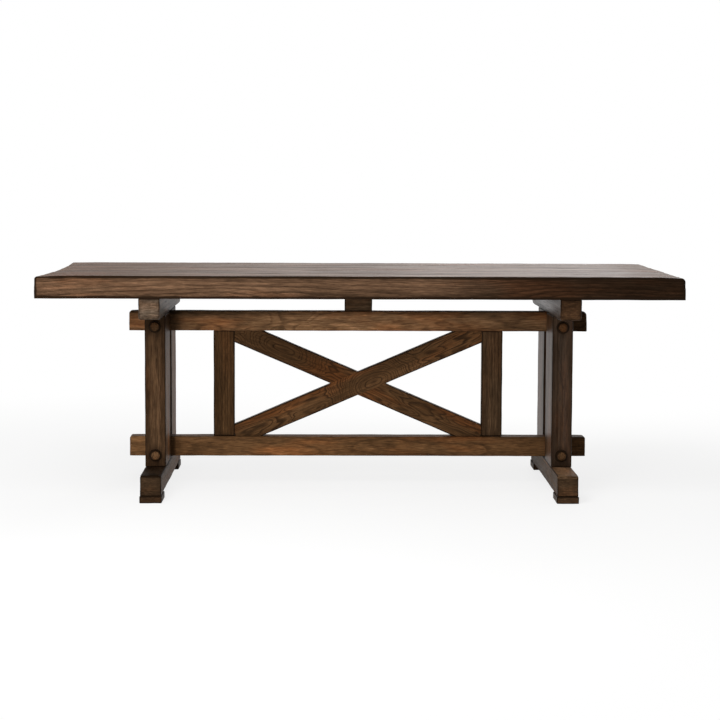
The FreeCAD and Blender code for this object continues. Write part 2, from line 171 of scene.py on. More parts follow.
class Sketch:
    """Adds linked nodes to a tree."""

    def __init__(self, tree):
        self.tree = tree

    def feed(self, socket, value):
        """Links a socket to a term, or sets its value."""
        if isinstance(value, Term):
            self.tree.links.new(value.socket, socket)
        else:
            socket.default_value = value

    def add(self, kind, inputs=None, **settings):
        """A new node with its settings and inputs."""
        node = self.tree.nodes.new(kind)
        for key, value in settings.items():
            setattr(node, key, value)
        for key, value in (inputs or {}).items():
            self.feed(node.inputs[key], value)
        return node

    def get(self, kind, inputs=None, output=0, **settings):
        """An output of a new node as a term."""
        return Term(self, self.add(kind, inputs, **settings).outputs[output])

    def get_all(self, kind, inputs=None, **settings):
        """All the outputs of a new node as terms with names."""
        node = self.add(kind, inputs, **settings)
        return {socket.name: Term(self, socket) for socket in node.outputs}

    def change(self, kind, geometry, inputs=None, **settings):
        """A geometry after a node has worked on it."""
        return self.get(kind, {"Geometry": geometry, **(inputs or {})}, **settings)

    def here(self):
        """The place of each point of a geometry."""
        return self.get("GeometryNodeInputPosition")

    def reckon(self, operation, *values):
        """A number from numbers, or a vector where one of the values is a vector."""
        wide = [value.socket.type in ("VECTOR", "RGBA") if isinstance(value, Term)
                else isinstance(value, tuple) for value in values]
        inputs = dict(enumerate(values))
        if operation == "MULTIPLY" and any(wide) and not all(wide):
            operation = "SCALE"
            inputs = {"Vector": values[wide.index(True)], "Scale": values[wide.index(False)]}
        kind = "ShaderNodeVectorMath" if any(wide) else "ShaderNodeMath"
        return self.get(kind, inputs, operation=operation)

    def least(self, *values):
        """The least of some values."""
        return reduce(partial(self.reckon, "MINIMUM"), values)

    def most(self, *values):
        """The most of some values."""
        return reduce(partial(self.reckon, "MAXIMUM"), values)

    def size_of(self, vector):
        """The length of a vector."""
        return self.get("ShaderNodeVectorMath", {0: vector}, "Value", operation="LENGTH")

    def split(self, vector):
        """The three parts of a vector."""
        return list(self.get_all("ShaderNodeSeparateXYZ", {0: vector}).values())

    def join(self, x, y, z):
        """A vector from three numbers."""
        return self.get("ShaderNodeCombineXYZ", {0: x, 1: y, 2: z})

    def fade(self, value, start, end, low=0.0, high=1.0):
        """A smooth step from low at start to high at end."""
        inputs = {0: value, 1: start, 2: end, 3: low, 4: high}
        return self.get("ShaderNodeMapRange", inputs, interpolation_type="SMOOTHSTEP")

    def between(self, low, high, factor):
        """A number between two numbers."""
        return (high - low) * factor + low

    def noise(self, vector, rate, detail=2.0, roughness=0.5):
        """The value and the colour of noise that changes at a rate along each axis."""
        return list(self.get_all("ShaderNodeTexNoise", {
            "Vector": vector * rate, "Scale": 1.0, "Detail": detail, "Roughness": roughness,
        }).values())

    def blend(self, first, second, factor, blend_type="MIX"):
        """A colour between two colours."""
        node = self.add("ShaderNodeMix", data_type="RGBA", blend_type=blend_type)
        colours = [socket for socket in node.inputs if socket.type == "RGBA"]
        for socket, value in zip((node.inputs[0], *colours), (factor, first, second)):
            self.feed(socket, value)
        return Term(self, next(socket for socket in node.outputs if socket.type == "RGBA"))


NUMBER, VECTOR, COLOUR = "NodeSocketFloat", "NodeSocketVector", "NodeSocketColor"
GEOMETRY, MATERIAL = "NodeSocketGeometry", "NodeSocketMaterial"
NOUGHT, MIDDLE, WHITE = (0.0, 0.0, 0.0), (0.5, 0.5, 0.5), (1.0, 1.0, 1.0, 1.0)


def socket_kind(value):
    """The kind of socket that holds a value, which may be named instead of a value."""
    if isinstance(value, tuple):
        return VECTOR if len(value) == 3 else COLOUR
    return value if isinstance(value, str) else NUMBER


def new_tree(name, kind, inputs, outputs):
    """An empty node tree: its sketch, its named inputs and the sockets of its end."""
    tree = bpy.data.node_groups.new(name, kind)
    for label, value in inputs.items():
        socket = tree.interface.new_socket(label, in_out="INPUT", socket_type=socket_kind(value))
        if not isinstance(value, str):
            socket.default_value = value
    for label, value in outputs.items():
        tree.interface.new_socket(label, in_out="OUTPUT", socket_type=value)
    sketch = Sketch(tree)
    given = sketch.get_all("NodeGroupInput")
    result = sketch.add("NodeGroupOutput").inputs
    return sketch, given, result


# Geometry nodes

# Rows of close cells along each edge, and the sharpest bend that is shaded smooth
EDGE_CELLS = 5
SHARP_ANGLE = math.radians(38)

# Points that lie closer become one, places that lie closer count as the same, and the least length
MERGE_GAP = 1e-5
SAME_PLACE = 1e-4
LEAST_LENGTH = 1e-6

# How far one step of the seed moves a pattern
SEED_STEP = (3.71, 1.37, 2.93)

# How far along a timber the wear of an end reaches, and the dip of the top
END_REACH = 0.03
DIP_REACH = 0.1

# How wide the zone of close cells is against the widest worn edge, and how much of it can be worn
EDGE_ROOM = 1.4
EDGE_FILL = 0.98

# How fast the wear of edges, scraped faces and pared pegs changes per metre
EDGE_RATE = (11.0, 3.3, 5.7)
SCRAPE_RATE = (8.0, 26.0, 26.0)
PARE_RATE = (90.0, 120.0, 120.0)

# The range of each noise that counts, and how far it changes the width of an edge
EDGE_NOISE, EDGE_CHANGE = (0.3, 0.7), (0.6, 1.35)
SCRAPE_NOISE = (0.32, 0.72)
PARE_LEVEL = 0.9

# How steeply the stain fades beside a board joint
JOINT_FALL = 4.0

# Where a brace starts to be eased beside the other one, and where it is fully eased
LAP_EASE = (-0.002, 0.005)

# The sides of a drill, and the sides, rows and rings of a peg with the shape of its dome
DRILL_SIDES = 40
PEG_SIDES, PEG_ROWS, PEG_RINGS = 56, 24, 10
PEG_END = 0.999
DOME_POWER = 4.0

PIECE_INPUTS = {
    "Points": GEOMETRY, "Seed": 0.0, "Turn": NOUGHT, "Place": NOUGHT, "Material": MATERIAL,
}
TIMBER_INPUTS = {
    **PIECE_INPUTS,
    "Size": (1.0, 0.07, 0.07),
    "Worn Low": (-0.5, -0.035, -0.035), "Worn High": (0.5, 0.035, 0.035),
    "Upper Arris": 0.003, "Lower Arris": 0.003, "Upper End": 0.003, "Lower End": 0.003,
    "Edge Zone": 0.006, "Scrape": 0.001, "Cell": 0.012,
}
BOARD_INPUTS = {
    **TIMBER_INPUTS,
    "Left Hollow": 0.0, "Right Hollow": 0.0, "Front Dip": 0.0, "Back Dip": 0.0, "Joint V": 0.0,
}
DRILLED_INPUTS = {
    **TIMBER_INPUTS, "Drill Radius": 0.01, "Drill Depth": 0.03, "Drill Turn": NOUGHT,
}
BRACE_INPUTS = {
    **TIMBER_INPUTS,
    "Panel Reach": 0.4, "Panel Rise": 0.2, "Climb": 1.0,
    "Lap Low": (-1.0, 0.0, -0.04), "Lap High": (1.0, 0.02, 0.04), "Lap Turn": NOUGHT,
}
PEG_INPUTS = {
    **PIECE_INPUTS, "Radius": 0.018, "Half Length": 0.25, "Dome": 0.007, "Cut": 0.0006,
}


def shape_tree(name, inputs):
    """An empty geometry node tree of a piece."""
    return new_tree(name, "GeometryNodeTree", inputs, {"Piece": GEOMETRY})


def grid_block(s, given):
    """A block of even cells whose rows are close together near its edges."""
    margin = (EDGE_CELLS,) * 3
    half, zone = given["Size"] * 0.5, given["Edge Zone"]
    cells = (s.reckon("CEIL", half / given["Cell"]) + margin) * 2.0
    counts = s.split(cells + (1, 1, 1))
    sides = {f"Vertices {axis}": count for axis, count in zip("XYZ", counts)}
    cube = s.get("GeometryNodeMeshCube", {"Size": (1, 1, 1), **sides})
    even = s.here()
    steps = (MIDDLE - abs(even)) * cells
    near = s.least(steps, margin) * (zone / EDGE_CELLS)
    step = (half - zone) / (cells * 0.5 - margin)
    depth = s.most(steps - margin, NOUGHT) * step + near
    return cube, s.reckon("SIGN", even) * (half - depth)


def seeded(given, point):
    """A point that is moved by the seed, so that each piece has its own pattern."""
    return point + SEED_STEP * given["Seed"]


def edge_gaps(s, given, point):
    """How far a point lies inside the worn block along each axis."""
    return s.split(s.least(point - given["Worn Low"], given["Worn High"] - point))


def edge_gap(s, given, point):
    """How far a point of the surface lies from the nearest worn edge."""
    x, y, z = edge_gaps(s, given, point)
    return x + y + z - s.most(x, y, z) - s.least(x, y, z)


def worn_radius(s, given, point):
    """The radius of the worn edge near a point, which wanders along the timber."""
    x, y, z = s.split(point)
    reach = s.split(given["Worn High"])[2] * 0.5
    upper = s.fade(z, reach * -1.0, reach)
    arris = s.between(given["Lower Arris"], given["Upper Arris"], upper)
    end = s.between(given["Lower End"], given["Upper End"], upper)
    near_end = s.fade(edge_gaps(s, given, point)[0], END_REACH, 0.0)
    side = s.join(x, s.reckon("SIGN", y), s.reckon("SIGN", z))
    wander = s.noise(seeded(given, side), EDGE_RATE, detail=3.0)[0]
    radius = s.between(arris, end, near_end) * s.fade(wander, *EDGE_NOISE, *EDGE_CHANGE)
    return s.least(radius, given["Edge Zone"] * EDGE_FILL)


def worn_point(s, given, point, ease=1.0):
    """A point of the block after its edges are rounded and its faces scraped."""
    radius = worn_radius(s, given, point) * ease
    core = s.least(s.most(point, given["Worn Low"] + radius), given["Worn High"] - radius)
    out = point - core
    widest = s.most(*s.split(abs(out)))
    rounded = core + out * (widest / s.most(s.size_of(out), LEAST_LENGTH))
    hollows = s.noise(seeded(given, rounded), SCRAPE_RATE)[0]
    depth = s.fade(hollows, *SCRAPE_NOISE) * given["Scrape"]
    return rounded - s.reckon("NORMALIZE", out) * depth


def keep(s, mesh, name, kind, value):
    """Stores a value on the points of a mesh."""
    return s.change("GeometryNodeStoreNamedAttribute", mesh, {"Name": name, "Value": value},
                    data_type=kind, domain="POINT")


def set_points(s, mesh, point):
    """Moves the points of a mesh."""
    return s.change("GeometryNodeSetPosition", mesh, {"Position": point})


def cut_away(s, mesh, cutter):
    """A mesh without the space that a cutter takes up."""
    mesh = s.get("GeometryNodeMeshBoolean", {"Mesh 1": mesh, "Mesh 2": cutter},
                 operation="DIFFERENCE", solver="EXACT")
    return s.change("GeometryNodeMergeByDistance", mesh, {"Distance": MERGE_GAP})


def finish_timber(s, given, result, mesh, edge):
    """Keeps the grain and the edges of a timber, then puts it in its place."""
    place = s.here()
    mesh = keep(s, mesh, "own", "FLOAT_VECTOR", place)
    mesh = keep(s, mesh, "grain", "FLOAT_VECTOR", seeded(given, place))
    mesh = keep(s, mesh, "edge", "FLOAT", edge)
    soft = s.get("GeometryNodeInputMeshEdgeAngle") < SHARP_ANGLE
    mesh = s.change("GeometryNodeSetShadeSmooth", mesh, {"Shade Smooth": soft}, domain="EDGE")
    move = {"Translation": given["Place"], "Rotation": given["Turn"]}
    mesh = s.change("GeometryNodeTransform", mesh, move)
    mesh = s.change("GeometryNodeRealizeInstances", mesh)
    mesh = s.change("GeometryNodeSetMaterial", mesh, {"Material": given["Material"]})
    s.feed(result[0], mesh)


def timber_tree():
    """Geometry nodes of a squared timber with worn edges, scraped faces and drilled recesses."""
    s, given, result = shape_tree("Worn timber", DRILLED_INPUTS)
    mesh, point = grid_block(s, given)
    mesh = set_points(s, mesh, worn_point(s, given, point))
    spots, radius = given["Points"], given["Drill Radius"]
    drill = s.get("GeometryNodeMeshCylinder", {
        "Vertices": DRILL_SIDES, "Radius": radius, "Depth": given["Drill Depth"] * 2.0,
    })
    drills = s.get("GeometryNodeInstanceOnPoints", {
        "Points": spots, "Instance": drill, "Rotation": given["Drill Turn"],
    })
    drilled = cut_away(s, mesh, s.change("GeometryNodeRealizeInstances", drills))
    holes = s.get("GeometryNodeAttributeDomainSize", {"Geometry": spots})
    mesh = s.get("GeometryNodeSwitch", {"Switch": holes, "False": mesh, "True": drilled},
                 input_type="GEOMETRY")
    near = s.get("GeometryNodeProximity", {0: spots}, "Distance", target_element="POINTS")
    from_rim = abs(near - radius) + (holes < 0.5)
    edge = s.least(edge_gap(s, given, s.here()), from_rim)
    finish_timber(s, given, result, mesh, edge)


def board_joint(s, given, across):
    """One on the side of a board that is joined to the next board, and how far that side is."""
    half = s.split(given["Size"] * 0.5)[1]
    low, high = (s.split(given[label])[1] for label in ("Worn Low", "Worn High"))
    joined = s.between(low + half < -SAME_PLACE, high - half > SAME_PLACE, across > 0.0)
    return joined, half - abs(across)


def board_tree():
    """Geometry nodes of one board of the top, worn only where the whole top is."""
    s, given, result = shape_tree("Top board", BOARD_INPUTS)
    mesh, point = grid_block(s, given)
    x, y, z = s.split(worn_point(s, given, point))
    _, front, bottom = s.split(given["Worn Low"])
    end, back, top = s.split(given["Worn High"])
    across = (y - (front + back) * 0.5) / ((back - front) * 0.5)
    hollow = s.between(given["Left Hollow"], given["Right Hollow"], x > 0.0)
    pull = hollow * (1.0 - across * across) / end
    dip = s.between(given["Front Dip"], given["Back Dip"], s.fade(across, -1.0, 1.0))
    dip = s.fade(end - abs(x), DIP_REACH, 0.0) * dip * s.fade(z, bottom, top)
    _, own_y, own_z = s.split(point)
    joined, from_joint = board_joint(s, given, own_y)
    on_top = own_z > s.split(given["Size"] * 0.5)[2] - SAME_PLACE
    vee = given["Joint V"]
    drop = s.fade(from_joint, vee, 0.0) * joined * on_top * vee
    mesh = set_points(s, mesh, s.join(x * (1.0 - pull), y, z - dip - drop))
    place = s.here()
    joined, from_joint = board_joint(s, given, s.split(place)[1])
    edge = s.least(edge_gap(s, given, place), from_joint * JOINT_FALL + (1.0 - joined))
    finish_timber(s, given, result, mesh, edge)


def outside_lap(s, given, point):
    """Nought where the other brace crosses and both are flush, and one elsewhere."""
    x, _, z = s.split(point)
    turn = s.split(given["Lap Turn"])[1]
    across = abs(x * s.reckon("SINE", turn) + z * s.reckon("COSINE", turn))
    return s.fade(across - s.split(given["Lap High"])[2], *LAP_EASE)


def brace_tree():
    """Geometry nodes of a brace that is cut to the panel's corners and halved in the middle."""
    s, given, result = shape_tree("Halved brace", BRACE_INPUTS)
    mesh, point = grid_block(s, given)
    x, y, z = s.split(worn_point(s, given, point, outside_lap(s, given, point)))
    reach, rise = given["Panel Reach"], given["Panel Rise"]
    diagonal = s.size_of(s.join(reach, rise, 0.0))
    sine, cosine = rise / diagonal, reach / diagonal
    height = z * (s.reckon("SIGN", x) * given["Climb"])
    ends = s.least((height * sine + reach) / cosine, (rise - height * cosine) / sine)
    along = x / s.split(given["Worn High"])[0]
    mesh = set_points(s, mesh, s.join(along * ends, y, z))
    low, high = given["Lap Low"], given["Lap High"]
    lap = s.get("GeometryNodeMeshCube", {"Size": high - low})
    move = {"Translation": (high + low) * 0.5, "Rotation": given["Lap Turn"]}
    mesh = cut_away(s, mesh, s.change("GeometryNodeTransform", lap, move))
    place = s.here()
    edge = edge_gap(s, given, place) + (1.0 - outside_lap(s, given, place))
    finish_timber(s, given, result, mesh, edge)


def peg_tree():
    """Geometry nodes of a round peg along X with a hand-cut dome at each end."""
    s, given, result = shape_tree("Domed peg", PEG_INPUTS)
    rod = s.get("GeometryNodeMeshCylinder", {
        "Vertices": PEG_SIDES, "Side Segments": PEG_ROWS, "Fill Segments": PEG_RINGS,
        "Radius": 1.0, "Depth": 2.0,
    }, fill_type="NGON")
    radius, dome = given["Radius"], given["Dome"]
    x, y, z = s.split(s.here())
    spread = s.least(s.size_of(s.join(x, y, 0.0)), 1.0)
    on_end = abs(z) > PEG_END
    rise = (1.0 - s.reckon("POWER", spread, DOME_POWER)) * on_end * dome
    along = z * (given["Half Length"] - dome) + rise * s.reckon("SIGN", z)
    point = s.join(along, x * radius, y * radius)
    cut = s.noise(seeded(given, point), PARE_RATE, detail=1.0)[0]
    outward = s.reckon("NORMALIZE", s.join(on_end * z, x, y))
    mesh = set_points(s, rod, point + outward * ((cut - PARE_LEVEL) * given["Cut"]))
    _, wide, tall = s.split(s.here())
    inside = radius - s.size_of(s.join(wide, tall, 0.0))
    finish_timber(s, given, result, mesh, inside)


# Shader node groups

# The parts of the figure, with the value of each in plain wood
FIGURE = {"Early": 0.0, "Streak": 0.5, "Fibre": 0.5, "Pores": 0.0, "Cloud": 0.5, "Hue": 0.5}

# How fast each part changes per metre, along the grain and across it
WOBBLE_RATE = (14.0, 60.0, 60.0)
STREAK_RATE = (2.4, 115.0, 115.0)
FIBRE_RATE = (28.0, 310.0, 310.0)
PORE_RATE = (38.0, 900.0, 900.0)
CRACK_RATE = (8.0, 230.0, 230.0)
CLOUD_RATE = (2.6, 13.0, 13.0)
RUB_RATE = (16.0, 70.0, 70.0)
YEAR_RATE = 55.0

# The range of the noise in which pores, cracks and warm patches appear
PORE_NOISE = (0.55, 0.7)
CRACK_NOISE = (0.6, 0.72)
WARM_NOISE = (0.45, 0.68)

# The core and the reach of an eye in the figure, and the share of the wander in its core
EYE_CORE, EYE_REACH, EYE_WANDER = 0.04, 0.2, 0.2

# How far rings wobble and good years shift them, and where early wood ends and starts in a ring
RING_WOBBLE, YEAR_SHIFT = 0.004, 2.2
EARLY_END, EARLY_START = 0.45, 0.86

# The range of good and bad years and the strength of their early wood, and the pores of late wood
YEAR_NOISE, YEAR_CONTRAST = (0.25, 0.75), (0.45, 1.0)
LATE_PORES = 0.25

# The tint of warm patches, and how far stain covers the pores
WARM_TINT = (1.5, 1.02, 0.72, 1.0)
PORE_COVER = 0.7

# How much the parts of the figure add to the roughness, the gloss and the relief
PORE_ROUGHNESS, STREAK_ROUGHNESS = 0.25, 0.35
BASE_GLOSS, MOST_GLOSS = 0.75, 1.5
STREAK_GLOSS, CLOUD_GLOSS, PORE_GLOSS = 3.6, 1.6, -0.5
RING_RELIEF, PORE_RELIEF, FIBRE_RELIEF = -0.35, -0.6, 0.5

# How far rubbing shifts the dark line and its margin, and how much of each is fully dark
WORN_STAIN = {"Line": (0.7, 0.5), "Margin": (1.5, 0.0)}


def look_key(label):
    """The name in a look of an input of a shader node group."""
    return label.lower().replace(" ", "_")


def plain_inputs(*labels):
    """Inputs of a shader node group with the values of plain oak."""
    return {label: PLAIN_OAK[look_key(label)] for label in labels}


def oak_figure_group():
    """Growth rings, streaks, fibres and pores of oak, along and across the grain."""
    rings = plain_inputs("Heart", "Eye", "Eye Depth", "Ring Width", "Wander", "Wander Rate")
    inputs = {"Own": NOUGHT, "Grain": NOUGHT, **rings, **plain_inputs("Cracks")}
    outputs = dict.fromkeys(FIGURE, NUMBER)
    s, given, result = new_tree("Oak figure", "ShaderNodeTree", inputs, outputs)
    own, grain = given["Own"], given["Grain"]
    from_eye = abs(s.split(own)[0] - given["Eye"])
    sink = s.fade(from_eye, 0.0, EYE_REACH) * given["Eye Depth"]
    wander = s.fade(from_eye, EYE_CORE, EYE_REACH, EYE_WANDER, 1.0) * given["Wander"]
    drift = (s.noise(grain, given["Wander Rate"])[1] - MIDDLE) * wander
    heart = given["Heart"] + s.join(0.0, sink, 0.0)
    _, y, z = s.split(own + drift - heart)
    wobble = s.noise(grain, WOBBLE_RATE)[0] - 0.5
    radius = wobble * RING_WOBBLE + s.size_of(s.join(y, z, 0.0))
    years = s.get("ShaderNodeTexNoise", {
        "W": radius * YEAR_RATE, "Scale": 1.0, "Detail": 1.0,
    }, noise_dimensions="1D")
    phase = s.reckon("FRACT", years * YEAR_SHIFT + radius / given["Ring Width"])
    early = s.fade(phase, EARLY_END, 0.0) + s.fade(phase, EARLY_START, 1.0)
    early = early * s.fade(years, *YEAR_NOISE, *YEAR_CONTRAST)
    streak = s.noise(grain, STREAK_RATE, detail=4.0, roughness=0.75)[0]
    fibre = s.noise(grain, FIBRE_RATE, detail=3.0, roughness=0.65)[0]
    pores = s.fade(s.noise(grain, PORE_RATE, detail=1.0)[0], *PORE_NOISE)
    pores = pores * s.between(LATE_PORES, 1.0, early)
    cracks = s.fade(s.noise(grain, CRACK_RATE, detail=1.0)[0], *CRACK_NOISE) * given["Cracks"]
    cloud, tint = s.noise(grain, CLOUD_RATE, detail=3.0, roughness=0.55)
    hue = s.get("ShaderNodeSeparateColor", {0: tint}, 1)
    for label, value in zip(FIGURE, (early, streak, fibre, s.most(pores, cracks), cloud, hue)):
        s.feed(result[label], value)


def oak_stain_group():
    """Colour, roughness, gloss and relief of stained oak, from its figure."""
    looks = plain_inputs("Ring Contrast", "Patches", "Streaks", "Flecks", "Warm Patches")
    inputs = {**FIGURE, "Oak": WHITE, "Pore Stain": WHITE, **looks, "Roughness": 0.5}
    outputs = {"Color": COLOUR, "Roughness": NUMBER, "Gloss": NUMBER, "Height": NUMBER}
    s, given, result = new_tree("Oak stain", "ShaderNodeTree", inputs, outputs)
    early, fibre, pores = given["Early"], given["Fibre"], given["Pores"]
    cloud, streak = given["Cloud"] - 0.5, given["Streak"] - 0.5
    stops = cloud * given["Patches"] + streak * given["Streaks"]
    stops = stops + (fibre - 0.5) * given["Flecks"]
    oak = given["Oak"] * s.reckon("POWER", 2.0, stops)
    warm = s.fade(given["Hue"], *WARM_NOISE) * given["Warm Patches"]
    oak = s.blend(oak, WARM_TINT, warm, "MULTIPLY")
    for dark in (early * given["Ring Contrast"], pores * PORE_COVER):
        oak = s.blend(oak, given["Pore Stain"], dark)
    rough = given["Roughness"] + pores * PORE_ROUGHNESS + streak * STREAK_ROUGHNESS
    gloss = BASE_GLOSS + streak * STREAK_GLOSS + cloud * CLOUD_GLOSS + pores * PORE_GLOSS
    gloss = s.least(s.most(gloss, 0.0), MOST_GLOSS)
    height = 1.0 + early * RING_RELIEF + pores * PORE_RELIEF + fibre * FIBRE_RELIEF
    for label, value in zip(outputs, (oak, rough, gloss, height)):
        s.feed(result[label], value)


def edge_wear_group():
    """Dark stain that lies along worn edges as a broken line and fades out over the faces."""
    looks = plain_inputs("Line", "Line Strength", "Margin", "Margin Strength")
    inputs = {"Edge": 0.0, "Grain": NOUGHT, **looks}
    s, given, result = new_tree("Worn edge", "ShaderNodeTree", inputs, {"Mask": NUMBER})
    rub = s.noise(given["Grain"], RUB_RATE, detail=3.0)[0] - 0.5
    masks = []
    for label, (shift, full) in WORN_STAIN.items():
        width = given[label]
        mask = s.fade(rub * width * shift + given["Edge"], width, width * full)
        masks.append(mask * given[label + " Strength"])
    s.feed(result["Mask"], s.most(*masks))


# Materials

# How the colour of single pieces departs from the oak of their kind
BOARD_TONE = (1.0, 0.84, 1.12, 0.92, 1.04)
POST_TONE = {"left": 1.85, "right": 1.08}
# The upper rail's paler, bluer tone is painted light, standing in for light that reaches it under
# the top
RAIL_TONE_AND_PAINTED_LIGHT = {"lower": Vector((0.93, 0.92, 0.92)), "upper": Vector((1.6, 1.7, 1.95))}
STILE_TONE = {"left": Vector((0.93, 0.95, 0.95)), "right": Vector((0.95, 1.1, 1.35))}
BRACE_TONE = {"right": 1.46, "left": 1.42}
PEG_TONE = {"lower": 1.05, "upper": 0.78}

# Painted shade and light on each foot against its sides: shade at its ends, and on its upper face
# shade on the left foot and light on the right one
FOOT_END_PAINTED_SHADE = {"left": 0.46, "right": 0.78}
FOOT_TOP_PAINTED_LIGHT_AND_SHADE = {"left": 0.17, "right": 2.6}

# Painted light and shade on each post against its sides: shade under the bearer at the head of the
# left posts and light at the head of the right ones, shade on the front, and shade at the lower end
# of the front
POST_HEAD_PAINTED_LIGHT_AND_SHADE = {"left": 0.5, "right": 1.2}
POST_FRONT_PAINTED_SHADE = {"left": 0.62, "right": 0.45}
POST_FOOT_PAINTED_SHADE = 0.6

# The reach and the core of those painted tones, and how far down a foot the painted light and shade
# of its top fades out
POST_HEAD, POST_FRONT, POST_FOOT = (0.1, 0.02), (2.0, 1.0), (0.07, 0.01)
FOOT_END, FOOT_TOP_FADE = (0.06, 0.012), 0.01

# Painted shade on the upper face of each rail, strongest on the upper rail under the top, and how
# far down its sides it fades out
RAIL_TOP_PAINTED_SHADE = {"lower": (0.9, 0.01), "upper": (0.5, 0.021)}

# How far the dull end of a bearer reaches
BEARER_END = 0.02

# How far the heart shifts sideways from board to board, and how low it lies
HEART_STEP, HEART_DEPTH = 0.025, -0.06

# Painted sheen: how the gloss of the top changes along it, to copy the sheen that light gives it:
# from, to, and the share at each
TOP_PAINTED_SHEEN = [(-0.95, -0.2, 1.0, 3.05), (-0.05, 0.45, 1.0, 0.56), (0.5, 0.8, 1.0, 1.3),
              (0.84, 1.02, 1.0, 0.4)]

# Painted light and shade: where the front of the top and the rails are darker or paler as light
# falls on them, with painted shadows of the posts on the rails: place, reach, core and share
FRONT_PAINTED_SHADE = (2.0, 2.2, 1.15, 0.2)
RAIL_PAINTED_LIGHT_AND_SHADE = {
    "lower": [(-0.8, 0.12, 0.1, 1.6), (-0.665, 0.026, 0.014, 0.3), (-0.52, 0.2, 0.06, 1.12),
              (0.5, 0.5, 0.15, 0.82), (0.8, 0.14, 0.08, 0.7)],
    "upper": [(-0.8, 0.12, 0.1, 1.2), (-0.665, 0.062, 0.014, 0.3), (-0.6, 0.5, 0.15, 0.7),
              (0.55, 0.5, 0.15, 0.68), (0.8, 0.14, 0.08, 0.28)],
}

# What an oak material has unless a piece says otherwise
PLAIN_OAK = {
    "lay": (1, 1, 1), "heart": (0, 0.03, -0.09), "eye": 9.0, "eye_depth": 0.0,
    "ring_width": 0.0055, "wander": 0.02, "wander_rate": (1.6, 4.5, 4.5), "ring_contrast": 0.45,
    "patches": 2.2, "streaks": 2.2, "flecks": 4.0, "warm_patches": 0.6, "cracks": 0.4,
    "line": 0.005, "line_strength": 0.95, "margin": 0.03, "margin_strength": 0.3,
    "shine": 0.03, "gloss": 0.0, "polished": None, "polish": (), "top_face": None,
    "darker": (), "front_darker": (), "front_face": 0.0,
}

# What sets the oak of each kind of piece apart, and that of single pieces
LOOKS = {
    # The boards' gloss changes along the top as painted sheen
    "board": {
        "ring_width": 0.0075, "wander": 0.07, "wander_rate": (1.3, 5.0, 5.0), "ring_contrast": 0.6,
        "patches": 2.6, "streaks": 3.0, "flecks": 3.0, "warm_patches": 0.5, "cracks": 0.6,
        "shine": 0.02, "gloss": 0.2, "polish": TOP_PAINTED_SHEEN,
    },
    "bearer": {
        "lay": (1, 0.25, 1), "heart": (0, 0, -0.3), "ring_contrast": 0.3, "streaks": 3.4,
        "flecks": 3.0, "margin": 0.02, "margin_strength": 0.45,
    },
    "bearer left": {"gloss": 0.25},
    "bearer right": {"gloss": 0.6},
    "post": {
        "heart": (0, 0.09, 0.03), "ring_contrast": 0.4, "streaks": 3.0, "flecks": 3.2,
        "cracks": 0.5, "margin_strength": 0.55,
    },
    "post left": {},
    "post right": {"gloss": 0.3, "shine": 0.07},
    "foot": {
        "lay": (1, 0.25, 1), "heart": (0, 0, -0.3), "ring_contrast": 0.3, "streaks": 2.4,
        "flecks": 2.8, "shine": 0.015,
    },
    "pad": {"shine": 0.03},
    "rail": {
        "ring_width": 0.008, "wander": 0.07, "wander_rate": (3.0, 6.0, 6.0), "ring_contrast": 0.38,
        "patches": 2.0, "streaks": 1.9, "flecks": 3.8, "line_strength": 0.2,
        "margin_strength": 0.15, "shine": 0.015,
    },
    # The stretches along the rails are painted light and shade
    "rail lower": {"heart": (0, 0.06, -0.01), "darker": RAIL_PAINTED_LIGHT_AND_SHADE["lower"]},
    "rail upper": {"heart": (0, 0.09, -0.01), "darker": RAIL_PAINTED_LIGHT_AND_SHADE["upper"]},
    "block": {"heart": (0, 0.05, 0.02)},
    "stile": {"heart": (0, 0.05, 0.03), "streaks": 2.0, "flecks": 3.4, "warm_patches": 0.25},
    "brace": {
        "ring_width": 0.007, "wander": 0.1, "wander_rate": (3.5, 20.0, 20.0), "patches": 2.0,
        "streaks": 2.0, "flecks": 2.6, "warm_patches": 0.7, "margin_strength": 0.2,
    },
    "brace right": {
        "heart": (0, -0.012, -0.018), "eye": 0.05, "eye_depth": 0.12, "ring_contrast": 0.9,
    },
    "brace left": {
        "heart": (0, -0.012, 0.01), "eye": -0.29, "eye_depth": 0.07, "ring_contrast": 0.75,
        "darker": [(-0.3, 0.35, 0.1, 0.68)],
    },
    "peg": {"heart": (0, 0.02, 0.01), "margin": 0.012, "margin_strength": 0.5},
}

# How deep a face counts as the face, and where the painted shade of the front and the polish fade
# out
FACE_DEPTH = 0.004
FRONT_FADE = 0.012
POLISH_FADE = 0.008

# The wax and the relief of the oak
COAT_ROUGHNESS = 0.4
SHINE_TINT = (1.0, 0.74, 0.52, 1.0)
RELIEF = {"Strength": 0.5, "Distance": 0.0006}

# The darker tones and the roughness of the plain wood and the steel
INNER_DARK, INNER_ROUGHNESS = (0.3, 0.19, 0.1, 1.0), 0.6
STEEL_DARK, STEEL_ROUGHNESS = (0.3, 0.3, 0.31, 1.0), (0.3, 0.5)
SCRATCH_RATE, SCRATCH_NOISE = (900.0, 60.0, 900.0), (0.3, 0.7)


def blank_tree(owner):
    """The emptied node tree of a material or a world."""
    owner.use_nodes = True
    owner.node_tree.nodes.clear()
    return Sketch(owner.node_tree)


def blank_material(name):
    """A new material and the sketch of its empty node tree."""
    material = bpy.data.materials.new(name)
    return material, blank_tree(material)


def use_shader(s, inputs):
    """Ends the tree of a material with a shader."""
    s.add("ShaderNodeOutputMaterial", {"Surface": s.get("ShaderNodeBsdfPrincipled", inputs)})


